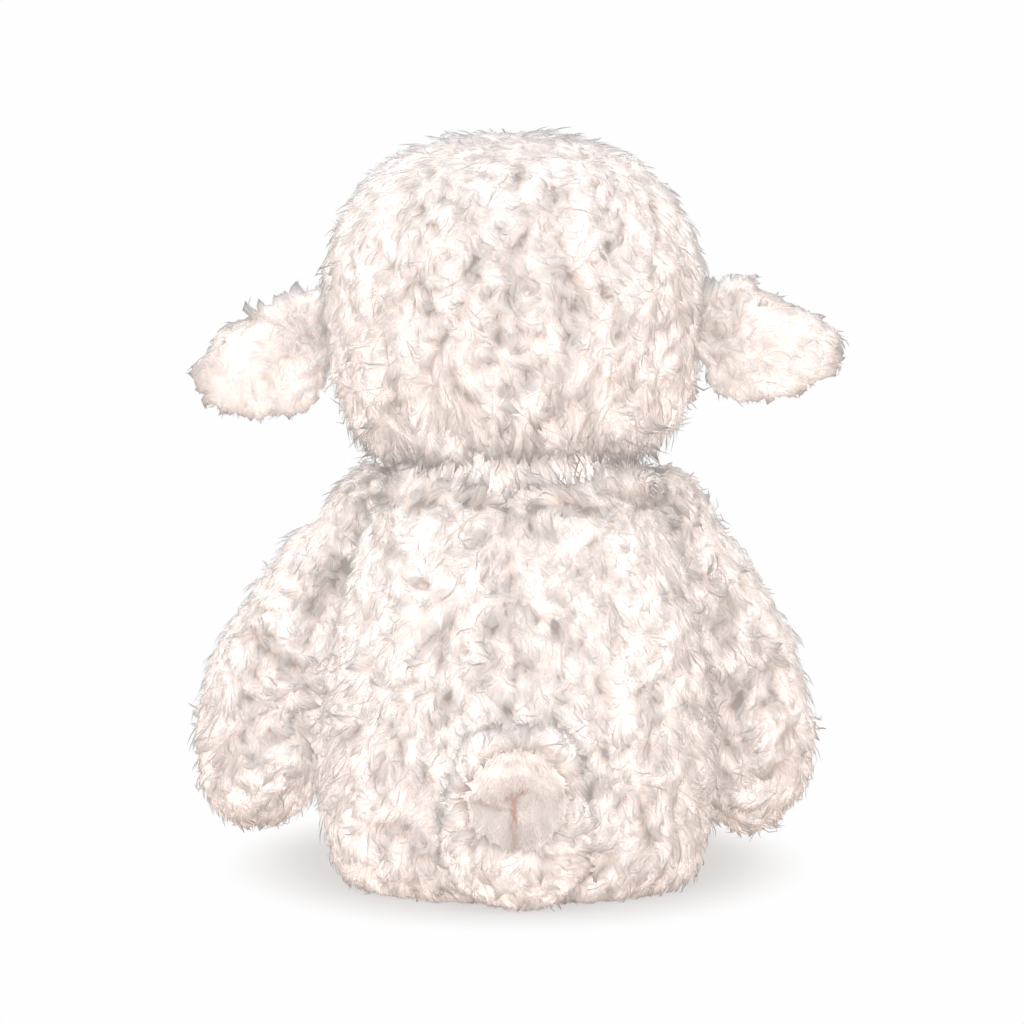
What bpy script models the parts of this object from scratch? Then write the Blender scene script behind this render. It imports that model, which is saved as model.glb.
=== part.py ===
"""A seated plush sheep, as its maker would take it apart.

Metres, +Z up, the face towards -Y and the tail towards +Y. The toy's left is +X. The origin is on
the flat seat of the body, midway between its sides.

Every cover is a wall of cloth and pile round its own filling. Each limb ends in a round root that
sits in a socket of the body, with a sewn ring between the two, so that it turns two ways about the
root's centre. The head turns three ways about the plug of firm filling in the neck.
"""

import math

import bmesh
import bpy
from mathutils import Matrix, Vector

# Running gaps and walls
GAP = 0.0003
SEAM_GAP = 0.0004
COVER_WALL = 0.005
TRIM_WALL = 0.003
MERGE_DISTANCE = 0.00003
OVERRUN = 0.02
CUTTER_REACH = 0.4

# A root, the sewn ring round it and the socket round both
RING_PLAY = 0.0008
RING_WALL = 0.001
ROOT_OPENING = 0.011

# Body
BODY_HEIGHT = 0.168
BODY_HALF_WIDTH = 0.076
BODY_HALF_BACK = 0.058
BODY_HALF_FRONT = 0.064
BODY_WIDEST_Y = 0.012
BODY_LEAN = 0.014
SIDE_SEAM_Y = -0.010
BODY_GIRTH_SHARES = (
    (0.000, 0.78),
    (0.035, 0.89),
    (0.110, 0.96),
    (0.220, 0.995),
    (0.330, 1.000),
    (0.450, 0.975),
    (0.570, 0.930),
    (0.690, 0.870),
    (0.800, 0.795),
    (0.890, 0.715),
    (0.960, 0.620),
    (0.995, 0.520),
    (1.015, 0.400),
)

# Neck, where the head turns
NECK_HEIGHT = 0.173
NECK_Y = -0.003
NECK_BALL_RADIUS = 0.038
NECK_PLAY = 0.0009

# Head, from the neck up
HEAD_HEIGHT = 0.124
HEAD_HALF_WIDTH = 0.073
HEAD_HALF_BACK = 0.060
HEAD_HALF_FRONT = 0.064
HEAD_FORWARD = 0.004
HEAD_ROLL_DEG = 1.3
HEAD_GIRTH_SHARES = (
    (0.060, 0.66),
    (0.095, 0.80),
    (0.150, 0.885),
    (0.240, 0.950),
    (0.360, 0.990),
    (0.480, 1.000),
    (0.600, 0.985),
    (0.710, 0.925),
    (0.810, 0.825),
    (0.890, 0.690),
    (0.950, 0.510),
    (0.985, 0.290),
)

# Face, with its centre measured from the neck
FACE_HALF_WIDTH = 0.045
FACE_HALF_DEPTH = 0.044
FACE_HALF_HEIGHT = 0.040
FACE_FORWARD = 0.045
FACE_HEIGHT = 0.046
NOSE_HALF_WIDTH = 0.011
NOSE_HALF_HEIGHT = 0.0075
NOSE_HALF_DEPTH = 0.006
NOSE_RISE = 0.010
MOUTH_HALF_WIDTH = 0.012
MOUTH_DROP = 0.010
MOUTH_CURVE = 0.004
MOUTH_THREAD = 0.0016

# Safety eyes
EYE_RADIUS = 0.006
EYE_DOME_HEIGHT = 0.0051
EYE_BASE_RADIUS = 0.0054
EYE_SPREAD = 0.023
EYE_RISE = 0.014
SHANK_RADIUS = 0.0018
SHANK_LENGTH = 0.0305
SHANK_PLAY = 0.0005
WASHER_RADIUS = 0.0055
WASHER_WALL = 0.0015
WASHER_DEPTH = 0.0275

# Ears, from the root to the tip
EAR_LENGTH = 0.053
EAR_ROOT_RADIUS = 0.009
EAR_HALF_WIDTH = 0.0235
EAR_HALF_WALL = 0.004
EAR_ROOT_X = 0.0765
EAR_ROOT_HEIGHT = 0.0475
EAR_ROOT_Y = -0.006
EAR_LEFT_DROOP_DEG = 20
EAR_RIGHT_DROOP_DEG = 15
EAR_ROOT_WALL_SHARE = 0.9
EAR_OUTLINE_SHARES = (
    (0.09, 0.54),
    (0.19, 0.79),
    (0.31, 0.94),
    (0.44, 1.00),
    (0.58, 0.97),
    (0.72, 0.83),
    (0.85, 0.60),
    (0.95, 0.32),
)

# Arms, from the shoulder to the paw
ARM_ROOT_RADIUS = 0.022
ARM_HALF_WIDTH = 0.0255
ARM_LENGTH = 0.144
ARM_ROOT_X = 0.0545
ARM_ROOT_Y = -0.0355
ARM_ROOT_HEIGHT = 0.144
ARM_BEND_DEG = 48
ARM_LEFT_SPREAD_DEG = 42
ARM_RIGHT_SPREAD_DEG = 36
ARM_LEFT_FORWARD_DEG = 9
ARM_RIGHT_FORWARD_DEG = 14
ARM_OUTLINE_SHARES = (
    (0.10, 0.80),
    (0.20, 0.74),
    (0.33, 0.78),
    (0.47, 0.87),
    (0.62, 0.96),
    (0.76, 1.00),
    (0.87, 0.90),
    (0.94, 0.68),
    (0.985, 0.36),
)

# Legs, from the hip to the foot
LEG_ROOT_RADIUS = 0.023
LEG_HALF_WIDTH = 0.0265
LEG_LENGTH = 0.112
LEG_ROOT_X = 0.039
LEG_ROOT_Y = -0.053
LEG_ROOT_HEIGHT = 0.0238
LEG_PITCH_DEG = 1.4
LEG_LEFT_SPLAY_DEG = 2
LEG_RIGHT_SPLAY_DEG = 13
LEG_OUTLINE_SHARES = (
    (0.08, 0.85),
    (0.17, 0.86),
    (0.32, 0.90),
    (0.50, 0.94),
    (0.68, 0.99),
    (0.84, 1.00),
    (0.94, 0.93),
    (1.00, 0.70),
)
SOLE_WALL = 0.003
SOLE_RIM = 0.001
SOLE_SHARE = 0.66

# Tail, from its rolled top to the tip
TAIL_ROLL_RADIUS = 0.008
TAIL_HALF_WIDTH = 0.0245
TAIL_LENGTH = 0.050
TAIL_ROOT_Y = 0.0705
TAIL_ROOT_HEIGHT = 0.057
TAIL_STAND_OFF = 0.004
TAIL_HOLE_SIDE = 0.012
TAIL_ROLL_SHARES = (
    (30, 0.66),
    (60, 0.74),
    (90, 0.80),
)
TAIL_OUTLINE_SHARES = (
    (0.22, 0.86, 0.86),
    (0.36, 0.95, 0.84),
    (0.55, 1.00, 0.88),
    (0.74, 0.94, 0.86),
    (0.88, 0.74, 0.72),
    (0.97, 0.42, 0.44),
)

# Bag of pellets in the seat
BAG_HALF_WIDTH = 0.040
BAG_HALF_DEPTH = 0.026
BAG_HEIGHT = 0.026
BAG_Y = 0.030
BAG_OUTLINE_SHARES = (
    (0, 0),
    (0.86, 0),
    (1, 0.2),
    (1, 0.6),
    (0.85, 0.88),
    (0.5, 1),
    (0, 1),
)

# Facets
BODY_SIDES = 24
LIMB_SIDES = 16
SMALL_SIDES = 12
BALL_RINGS = 10
CUTTER_SIDES = 20
ROOT_STEPS = 6
THREAD_SIDES = 6
THREAD_STEPS = 12
RING_FROM_DEG = 118
RING_TO_DEG = 134
EYE_ARC_DEG = (25, 50, 72, 88)
EAR_ROOT_ARC_DEG = (150, 120, 90)
HARD_EDGE_DEG = 50

# Colours as linear light, then roughness
CURLY_PILE = ((0.83, 0.76, 0.70), 0.95)
SMOOTH_PILE = ((0.74, 0.62, 0.54), 0.9)
FIBRE = ((0.86, 0.86, 0.84), 1.0)
CALICO = ((0.72, 0.66, 0.54), 0.9)
SEAM_TAPE = ((0.78, 0.72, 0.65), 0.9)
BLACK_GLOSS = ((0.01, 0.008, 0.007), 0.12)
WHITE_PLASTIC = ((0.75, 0.75, 0.73), 0.5)
THREAD = ((0.30, 0.17, 0.14), 0.7)


def clear_scene():
    for old in list(bpy.data.objects):
        bpy.data.objects.remove(old)


def finish_of(name, finish):
    colour, roughness = finish
    made = bpy.data.materials.new(name)
    made.use_nodes = True
    shader = made.node_tree.nodes["Principled BSDF"]
    shader.inputs["Base Color"].default_value = (*colour, 1.0)
    shader.inputs["Roughness"].default_value = roughness
    shader.inputs["Metallic"].default_value = 0.0
    return made


def place(name, mesh_maker, finish, parent=None):
    """A named piece from a bmesh, smooth but for its hard edges."""
    mesh = bpy.data.meshes.new(name)
    bmesh.ops.recalc_face_normals(mesh_maker, faces=mesh_maker.faces[:])
    mesh_maker.to_mesh(mesh)
    mesh_maker.free()
    mesh.shade_smooth()
    mesh.set_sharp_from_angle(angle=math.radians(HARD_EDGE_DEG))
    piece = bpy.data.objects.new(name, mesh)
    bpy.context.scene.collection.objects.link(piece)
    if finish is not None:
        mesh.materials.append(finish_of(name, finish))
    piece.parent = parent
    return piece


def pivot(name, centre, turn=None, parent=None):
    """An empty on a joint, with what moves there as its children."""
    empty = bpy.data.objects.new(name, None)
    bpy.context.scene.collection.objects.link(empty)
    empty.parent = parent
    empty.matrix_local = Matrix.Translation(centre) @ (turn or Matrix.Identity(4))
    return empty


def turn_about(axis, degrees):
    return Matrix.Rotation(math.radians(degrees), 4, axis)


def cutter(name, mesh_maker, parent=None):
    made = place(name, mesh_maker, None, parent)
    made.hide_render = True
    made.display_type = "WIRE"
    return made


def combine(piece, tool, operation="DIFFERENCE"):
    change = piece.modifiers.new(operation.lower() + "_" + tool.name, "BOOLEAN")
    change.operation = operation
    change.solver = "EXACT"
    change.object = tool


def loft(rings, foot=None, crown=None):
    """A skin through rings of points, each end closed by a point or a flat cap, or left open."""
    made = bmesh.new()
    loops = [[made.verts.new(point) for point in ring] for ring in rings]
    count = len(loops[0])
    for low, high in zip(loops, loops[1:]):
        for i in range(count):
            j = (i + 1) % count
            made.faces.new((low[i], low[j], high[j], high[i]))
    for loop, end in ((loops[0], foot), (loops[-1], crown)):
        if end == "flat":
            made.faces.new(loop)
        elif end is not None:
            tip = made.verts.new(end)
            for i in range(count):
                made.faces.new((loop[i], loop[(i + 1) % count], tip))
    bmesh.ops.recalc_face_normals(made, faces=made.faces[:])
    return made


def egg_ring(height, half_width, half_back, half_front, centre_y, sides):
    """A level ring that is deeper to the front than to the back, or the other way round."""
    points = []
    for i in range(sides):
        angle = 2 * math.pi * (i + 0.5) / sides
        half_depth = half_back if math.sin(angle) > 0 else half_front
        points.append(
            (half_width * math.cos(angle), centre_y + half_depth * math.sin(angle), height)
        )
    return points


def swollen(made, distance):
    """Moves a skin along its own normals, out for a positive distance."""
    made.normal_update()
    moves = [(vert, vert.normal.copy() * distance) for vert in made.verts]
    for vert, move in moves:
        vert.co += move
    return made


def ball(radius, sides=CUTTER_SIDES, centre=(0, 0, 0)):
    made = bmesh.new()
    bmesh.ops.create_uvsphere(
        made,
        u_segments=sides,
        v_segments=BALL_RINGS,
        radius=radius,
        matrix=Matrix.Translation(centre),
    )
    return made


def rod(radius, length, sides=SMALL_SIDES, matrix=None):
    """A closed rod along Z, with its middle at the origin of the matrix."""
    made = bmesh.new()
    bmesh.ops.create_cone(
        made,
        cap_ends=True,
        segments=sides,
        radius1=radius,
        radius2=radius,
        depth=length,
        matrix=matrix or Matrix.Identity(4),
    )
    return made


def block(size, centre):
    made = bmesh.new()
    bmesh.ops.create_cube(made, size=1.0)
    bmesh.ops.scale(made, vec=size, verts=made.verts[:])
    bmesh.ops.translate(made, vec=centre, verts=made.verts[:])
    return made


def spun(profile, sides):
    """A profile of (radius, height) pairs turned about Z; a zero radius closes it on the axis."""
    made = bmesh.new()
    chain = [made.verts.new((radius, 0, height)) for radius, height in profile]
    edges = [made.edges.new(pair) for pair in zip(chain, chain[1:])]
    bmesh.ops.spin(
        made,
        geom=chain + edges,
        cent=(0, 0, 0),
        axis=(0, 0, 1),
        angle=2 * math.pi,
        steps=sides,
        use_merge=True,
    )
    bmesh.ops.remove_doubles(made, verts=made.verts[:], dist=MERGE_DISTANCE)
    bmesh.ops.recalc_face_normals(made, faces=made.faces[:])
    return made


def wall(piece, thickness):
    """Gives an open or a closed skin its wall, inwards."""
    solid = piece.modifiers.new("wall", "SOLIDIFY")
    solid.thickness = thickness
    solid.offset = -1
    solid.use_even_offset = True


def body_skin():
    rings = []
    for height_share, girth in BODY_GIRTH_SHARES:
        centre_y = BODY_WIDEST_Y - BODY_LEAN * height_share
        rings.append(
            egg_ring(
                BODY_HEIGHT * height_share,
                BODY_HALF_WIDTH * girth,
                BODY_HALF_BACK * girth,
                BODY_HALF_FRONT * girth,
                centre_y,
                BODY_SIDES,
            )
        )
    return loft(rings, "flat", (0, NECK_Y, NECK_HEIGHT))


def head_skin():
    """The head above the neck, in the neck's own frame."""
    rings = []
    for height_share, girth in HEAD_GIRTH_SHARES:
        rings.append(
            egg_ring(
                HEAD_HEIGHT * height_share,
                HEAD_HALF_WIDTH * girth,
                HEAD_HALF_BACK * girth,
                HEAD_HALF_FRONT * girth,
                -HEAD_FORWARD,
                BODY_SIDES,
            )
        )
    return loft(rings, (0, 0, 0), (0, -HEAD_FORWARD, HEAD_HEIGHT))


def socket_radius(root_radius, play=RING_PLAY):
    return root_radius + RING_WALL + 2 * play


def limb_skin(radius, length, half_width, outline):
    """Root, sleeve and tip of a limb that hangs along -Z from its root's centre.

    The first pair of the outline only says how far along the round root gives way to the sleeve.
    """
    meet = math.acos(length * outline[0][0] / radius)
    profile = []
    for i in range(ROOT_STEPS + 1):
        angle = math.pi + (meet - math.pi) * i / ROOT_STEPS
        profile.append((radius * math.sin(angle), -radius * math.cos(angle)))
    for length_share, width_share in outline[1:]:
        profile.append((half_width * width_share, -length * length_share))
    profile[0] = (0, radius)
    profile.append((0, -length))
    return spun(profile, LIMB_SIDES)


def bend_sleeve(made, root_radius, length, bend_deg):
    """Carries the sleeve inwards along an arc once it has left the root, as an arm hangs."""
    turn = math.radians(bend_deg)
    arc_radius = (length - root_radius) / turn
    for vert in made.verts:
        along = -vert.co.z - root_radius
        if along <= 0:
            continue
        angle = along / arc_radius
        out = vert.co.x
        vert.co.x = out * math.cos(angle) - arc_radius * (1 - math.cos(angle))
        vert.co.z = -root_radius - (arc_radius + out) * math.sin(angle)


def limb(name, radius, skin, hub, seam_hub):
    """A sleeve with an opening in its root, where it is sewn on, and the filling inside it."""
    core = skin.copy()
    cover = place(name + "_cover", skin, CURLY_PILE, hub)
    wall(cover, COVER_WALL)
    opening = rod(ROOT_OPENING, radius, SMALL_SIDES, Matrix.Translation((0, 0, radius)))
    combine(cover, cutter(name + "_opening", opening, seam_hub))
    swollen(core, -(COVER_WALL + GAP + GAP))
    place(name + "_filling", core, FIBRE, hub)
    return cover


def seam_ring(name, root_radius, hub, play=RING_PLAY, sides=LIMB_SIDES):
    """The sewn ring round the inner end of a root, between the root and its socket."""
    inner = root_radius + play
    outer = inner + RING_WALL
    middle = (RING_FROM_DEG + RING_TO_DEG) / 2
    angles = [math.radians(degrees) for degrees in (RING_FROM_DEG, middle, RING_TO_DEG)]
    profile = [(outer * math.sin(a), -outer * math.cos(a)) for a in angles]
    profile += [(inner * math.sin(a), -inner * math.cos(a)) for a in reversed(angles)]
    profile.append(profile[0])
    return place(name, spun(profile, sides), SEAM_TAPE, hub)


def make_body():
    """Two sewn panels round the filling, with the bag of pellets let into the seat."""
    halves = []
    for name, side in (("body_back_panel", 1), ("body_front_panel", -1)):
        panel = place(name, body_skin(), CURLY_PILE)
        wall(panel, COVER_WALL)
        edge = SIDE_SEAM_Y + side * SEAM_GAP / 2
        middle = Vector((0, edge + side * CUTTER_REACH / 2, 0))
        half = cutter(name + "_half", block((CUTTER_REACH, CUTTER_REACH, CUTTER_REACH), middle))
        combine(panel, half, "INTERSECT")
        halves.append(panel)
    inside = swollen(body_skin(), -(COVER_WALL + GAP + GAP))
    filling = place("body_filling", inside, FIBRE)
    low = COVER_WALL + GAP + GAP
    bag_shape = [
        (BAG_HALF_WIDTH * width, low + BAG_HEIGHT * height)
        for width, height in BAG_OUTLINE_SHARES
    ]
    bag = spun(bag_shape, LIMB_SIDES)
    pocket = spun(bag_shape, LIMB_SIDES)
    for made, grow in ((bag, 0), (pocket, 2 * GAP)):
        flat = Vector((1, BAG_HALF_DEPTH / BAG_HALF_WIDTH, 1))
        bmesh.ops.scale(made, vec=flat, verts=made.verts[:])
        bmesh.ops.translate(made, vec=(0, BAG_Y, 0), verts=made.verts[:])
        swollen(made, grow)
    for vert in pocket.verts:
        if vert.co.z < low + GAP:
            vert.co.z = -OVERRUN
    place("pellet_bag", bag, CALICO)
    combine(filling, cutter("bag_pocket", pocket))
    return halves, filling


def cut_sockets(pieces, centre, radius, name):
    tool = cutter(name, ball(radius, CUTTER_SIDES, centre))
    for piece in pieces:
        combine(piece, tool)


def make_head(neck_hub):
    """Cover and filling of the head, hollowed over the neck plug."""
    cover = place("head_cover", head_skin(), CURLY_PILE, neck_hub)
    wall(cover, COVER_WALL)
    inside = swollen(head_skin(), -(COVER_WALL + GAP + GAP))
    filling = place("head_filling", inside, FIBRE, neck_hub)
    seat = cutter("head_seat", ball(NECK_BALL_RADIUS + NECK_PLAY), neck_hub)
    combine(cover, seat)
    combine(filling, seat)
    return cover, filling


def make_neck(hub):
    """The firm plug that carries the head, and the sewn ring below it."""
    place("neck_stuffing", ball(NECK_BALL_RADIUS, BODY_SIDES), FIBRE, hub)
    flipped = pivot("neck_seam_pivot", (0, 0, 0), turn_about("X", 180), hub)
    seam_ring("neck_seam", NECK_BALL_RADIUS, flipped, NECK_PLAY, BODY_SIDES)


def face_ellipsoid(extra=0.0):
    made = ball(1.0, BODY_SIDES)
    size = (FACE_HALF_WIDTH + extra, FACE_HALF_DEPTH + extra, FACE_HALF_HEIGHT + extra)
    bmesh.ops.scale(made, vec=size, verts=made.verts[:])
    bmesh.ops.translate(made, vec=(0, -FACE_FORWARD, FACE_HEIGHT), verts=made.verts[:])
    return made


def face_point(x, rise):
    """A point of the face's own curve, and the way out of it there."""
    share = (x / FACE_HALF_WIDTH) ** 2 + (rise / FACE_HALF_HEIGHT) ** 2
    depth = FACE_HALF_DEPTH * math.sqrt(1 - share)
    point = Vector((x, -FACE_FORWARD - depth, FACE_HEIGHT + rise))
    out = Vector((x / FACE_HALF_WIDTH**2, -depth / FACE_HALF_DEPTH**2, rise / FACE_HALF_HEIGHT**2))
    return point, out.normalized()


def make_face(hub, head_cover, head_filling):
    """Short-pile face over the head, with stitched nose and mouth and two safety eyes."""
    panel = place("face_panel", face_ellipsoid(), SMOOTH_PILE, hub)
    combine(panel, cutter("head_solid", swollen(head_skin(), GAP), hub))
    clear_of_face = cutter("face_solid", face_ellipsoid(GAP), hub)
    nose_at, _ = face_point(0, NOSE_RISE)
    nose = ball(1.0, SMALL_SIDES)
    size = (NOSE_HALF_WIDTH, NOSE_HALF_DEPTH, NOSE_HALF_HEIGHT)
    bmesh.ops.scale(nose, vec=size, verts=nose.verts[:])
    bmesh.ops.translate(nose, vec=nose_at, verts=nose.verts[:])
    combine(place("nose_stitching", nose, THREAD, hub), clear_of_face)
    place("mouth_stitching", mouth_thread(), THREAD, hub)
    for side, word in ((1, "left"), (-1, "right")):
        point, out = face_point(side * EYE_SPREAD, EYE_RISE)
        upright = out.to_track_quat("Z", "Y").to_matrix().to_4x4()
        hub_of_eye = pivot("eye_" + word + "_pivot", point, upright, hub)
        make_eye(word, hub_of_eye, panel, head_cover, head_filling)


def mouth_thread():
    """A thread that lies on the face in one shallow smile."""
    radius = MOUTH_THREAD / 2
    rings = []
    for i in range(THREAD_STEPS + 1):
        share = 2 * i / THREAD_STEPS - 1
        x = MOUTH_HALF_WIDTH * share
        point, out = face_point(x, -MOUTH_DROP + MOUTH_CURVE * share * share)
        side = Vector((1, 0, 0))
        up = out.cross(side).normalized()
        centre = point + out * (radius + GAP)
        around = [2 * math.pi * k / THREAD_SIDES for k in range(THREAD_SIDES)]
        rings.append([centre + (out * math.cos(a) + up * math.sin(a)) * radius for a in around])
    return loft(rings, "flat", "flat")


def make_eye(word, hub, panel, head_cover, head_filling):
    """A domed eye with its shank through the face, held by a washer behind the cover."""
    profile = [(0, EYE_DOME_HEIGHT)]
    for degrees in EYE_ARC_DEG:
        angle = math.radians(degrees)
        profile.append((EYE_RADIUS * math.sin(angle), EYE_DOME_HEIGHT * math.cos(angle)))
    profile += [(EYE_BASE_RADIUS, 0), (SHANK_RADIUS, 0)]
    profile += [(SHANK_RADIUS, -SHANK_LENGTH), (0, -SHANK_LENGTH)]
    eye = spun(profile, SMALL_SIDES)
    bmesh.ops.translate(eye, vec=(0, 0, GAP), verts=eye.verts[:])
    place("eye_" + word, eye, BLACK_GLOSS, hub)
    bore = SHANK_RADIUS + SHANK_PLAY
    low, high = -WASHER_DEPTH - WASHER_WALL, -WASHER_DEPTH
    washer = [(bore, low), (WASHER_RADIUS, low), (WASHER_RADIUS, high), (bore, high), (bore, low)]
    place("eye_washer_" + word, spun(washer, SMALL_SIDES), WHITE_PLASTIC, hub)
    reach = SHANK_LENGTH + GAP
    hole = rod(bore, 2 * reach)
    drill = cutter("eye_bore_" + word, hole, hub)
    for piece in (panel, head_cover, head_filling):
        combine(piece, drill)
    depth = WASHER_WALL + 2 * GAP + OVERRUN
    middle = low - GAP + depth / 2
    pocket = rod(WASHER_RADIUS + 2 * GAP, depth, SMALL_SIDES, Matrix.Translation((0, 0, middle)))
    combine(head_filling, cutter("washer_pocket_" + word, pocket, hub))


def ear_skin():
    """A leaf with a round root, along +X, with its faces to the front and the back."""
    sections = []
    for degrees in EAR_ROOT_ARC_DEG:
        angle = math.radians(degrees)
        along = EAR_ROOT_RADIUS * math.cos(angle)
        sections.append((along, EAR_ROOT_RADIUS * math.sin(angle), EAR_ROOT_WALL_SHARE))
    for length_share, width_share in EAR_OUTLINE_SHARES:
        sections.append((EAR_LENGTH * length_share, EAR_HALF_WIDTH * width_share, 1.0))
    rings = []
    for along, half_width, wall_share in sections:
        rings.append(
            [
                (
                    along,
                    EAR_HALF_WALL * wall_share * math.cos(angle),
                    half_width * math.sin(angle),
                )
                for angle in (2 * math.pi * (i + 0.5) / SMALL_SIDES for i in range(SMALL_SIDES))
            ]
        )
    return loft(rings, (-EAR_ROOT_RADIUS, 0, 0), (EAR_LENGTH, 0, 0))


def make_ear(side, word, droop, hub, head_pieces):
    """Curly back and smooth lining of an ear, sewn along its edge, in a slot of the head."""
    centre = Vector((side * EAR_ROOT_X, EAR_ROOT_Y, EAR_ROOT_HEIGHT))
    face_out = Matrix.Identity(4) if side > 0 else turn_about("Z", 180)
    ear_hub = pivot("ear_" + word + "_pivot", centre, turn_about("Y", side * droop) @ face_out, hub)
    for layer, front, finish in (("outer", 1, CURLY_PILE), ("lining", -1, SMOOTH_PILE)):
        name = "ear_" + word + "_" + layer
        part = place(name, ear_skin(), finish, ear_hub)
        towards = front * side
        middle = (0, towards * (CUTTER_REACH / 2 + SEAM_GAP / 2), 0)
        half = block((CUTTER_REACH, CUTTER_REACH, CUTTER_REACH), middle)
        combine(part, cutter(name + "_half", half, ear_hub), "INTERSECT")
    slot_matrix = Matrix.Translation(centre) @ turn_about("X", 90)
    slot = rod(EAR_ROOT_RADIUS + RING_PLAY, 2 * (EAR_HALF_WALL + RING_PLAY), CUTTER_SIDES, slot_matrix)
    tool = cutter("ear_slot_" + word, slot, hub)
    for piece in head_pieces:
        combine(piece, tool)


def make_arm(side, word, spread, forward, body_pieces):
    centre = Vector((side * ARM_ROOT_X, ARM_ROOT_Y, ARM_ROOT_HEIGHT))
    turn = turn_about("X", -forward) @ turn_about("Y", -side * spread)
    name = "arm_" + word
    hub = pivot(name + "_pivot", centre, turn)
    inwards = Vector((-centre.x, -centre.y, 0)).to_track_quat("Z", "Y").to_matrix().to_4x4()
    seam_hub = pivot(name + "_seam_pivot", centre, inwards)
    skin = limb_skin(ARM_ROOT_RADIUS, ARM_LENGTH, ARM_HALF_WIDTH, ARM_OUTLINE_SHARES)
    bend_sleeve(skin, ARM_ROOT_RADIUS, ARM_LENGTH, side * ARM_BEND_DEG)
    limb(name, ARM_ROOT_RADIUS, skin, hub, seam_hub)
    seam_ring(name + "_seam", ARM_ROOT_RADIUS, seam_hub)
    cut_sockets(body_pieces, centre, socket_radius(ARM_ROOT_RADIUS), name + "_socket")


def make_leg(side, word, splay, body_pieces):
    centre = Vector((side * LEG_ROOT_X, LEG_ROOT_Y, LEG_ROOT_HEIGHT))
    turn = turn_about("Z", side * splay) @ turn_about("X", -90 - LEG_PITCH_DEG)
    name = "leg_" + word
    hub = pivot(name + "_pivot", centre, turn)
    skin = limb_skin(LEG_ROOT_RADIUS, LEG_LENGTH, LEG_HALF_WIDTH, LEG_OUTLINE_SHARES)
    cover = limb(name, LEG_ROOT_RADIUS, skin, hub, hub)
    under = block((CUTTER_REACH, CUTTER_REACH, OVERRUN), (0, 0, -OVERRUN / 2))
    combine(cover, cutter(name + "_floor", under))
    seam_ring(name + "_seam", LEG_ROOT_RADIUS, hub)
    cut_sockets(body_pieces, centre, socket_radius(LEG_ROOT_RADIUS), name + "_socket")
    sole_radius = LEG_HALF_WIDTH * SOLE_SHARE
    sole = [(0, 0), (sole_radius, 0), (sole_radius, -SOLE_RIM)]
    sole += [(sole_radius - SOLE_RIM, -SOLE_WALL), (0, -SOLE_WALL)]
    shape = spun(sole, LIMB_SIDES)
    bmesh.ops.translate(shape, vec=(0, 0, -LEG_LENGTH - GAP), verts=shape.verts[:])
    place("foot_sole_" + word, shape, SMOOTH_PILE, hub)


def tail_skin():
    """Level rings of the hanging tail: the roll at its top, then the tongue below it."""
    rings = []
    for degrees, width_share in TAIL_ROLL_SHARES:
        angle = math.radians(degrees)
        half_wall = TAIL_ROLL_RADIUS * math.sin(angle)
        height = TAIL_ROLL_RADIUS * math.cos(angle)
        rings.append(tail_ring(height, TAIL_HALF_WIDTH * width_share, half_wall, 0))
    for length_share, width_share, wall_share in TAIL_OUTLINE_SHARES:
        half_width = TAIL_HALF_WIDTH * width_share
        half_wall = TAIL_ROLL_RADIUS * wall_share
        rings.append(tail_ring(-TAIL_LENGTH * length_share, half_width, half_wall, TAIL_STAND_OFF))
    return loft(rings, (0, 0, TAIL_ROLL_RADIUS), (0, TAIL_STAND_OFF, -TAIL_LENGTH))


def tail_ring(height, half_width, half_wall, forward):
    points = []
    for i in range(SMALL_SIDES):
        angle = 2 * math.pi * (i + 0.5) / SMALL_SIDES
        points.append(
            (half_width * math.cos(angle), forward + half_wall * math.sin(angle), height)
        )
    return points


def make_tail(body_pieces):
    centre = Vector((0, TAIL_ROOT_Y, TAIL_ROOT_HEIGHT))
    hub = pivot("tail_pivot", centre)
    cover = place("tail_cover", tail_skin(), SMOOTH_PILE, hub)
    wall(cover, TRIM_WALL)
    inside = swollen(tail_skin(), -(TRIM_WALL + GAP + GAP))
    place("tail_filling", inside, FIBRE, hub)
    hole_size = (TAIL_HOLE_SIDE, TAIL_HOLE_SIDE, TRIM_WALL)
    root_hole = block(hole_size, (0, -TAIL_ROLL_RADIUS, 0))
    combine(cover, cutter("tail_root_hole", root_hole, hub))
    groove_matrix = Matrix.Translation(centre) @ turn_about("Y", 90)
    reach = 2 * (TAIL_HALF_WIDTH + RING_PLAY)
    groove = rod(TAIL_ROLL_RADIUS + RING_PLAY, reach, CUTTER_SIDES, groove_matrix)
    tool = cutter("tail_groove", groove)
    for piece in body_pieces:
        combine(piece, tool)


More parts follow.
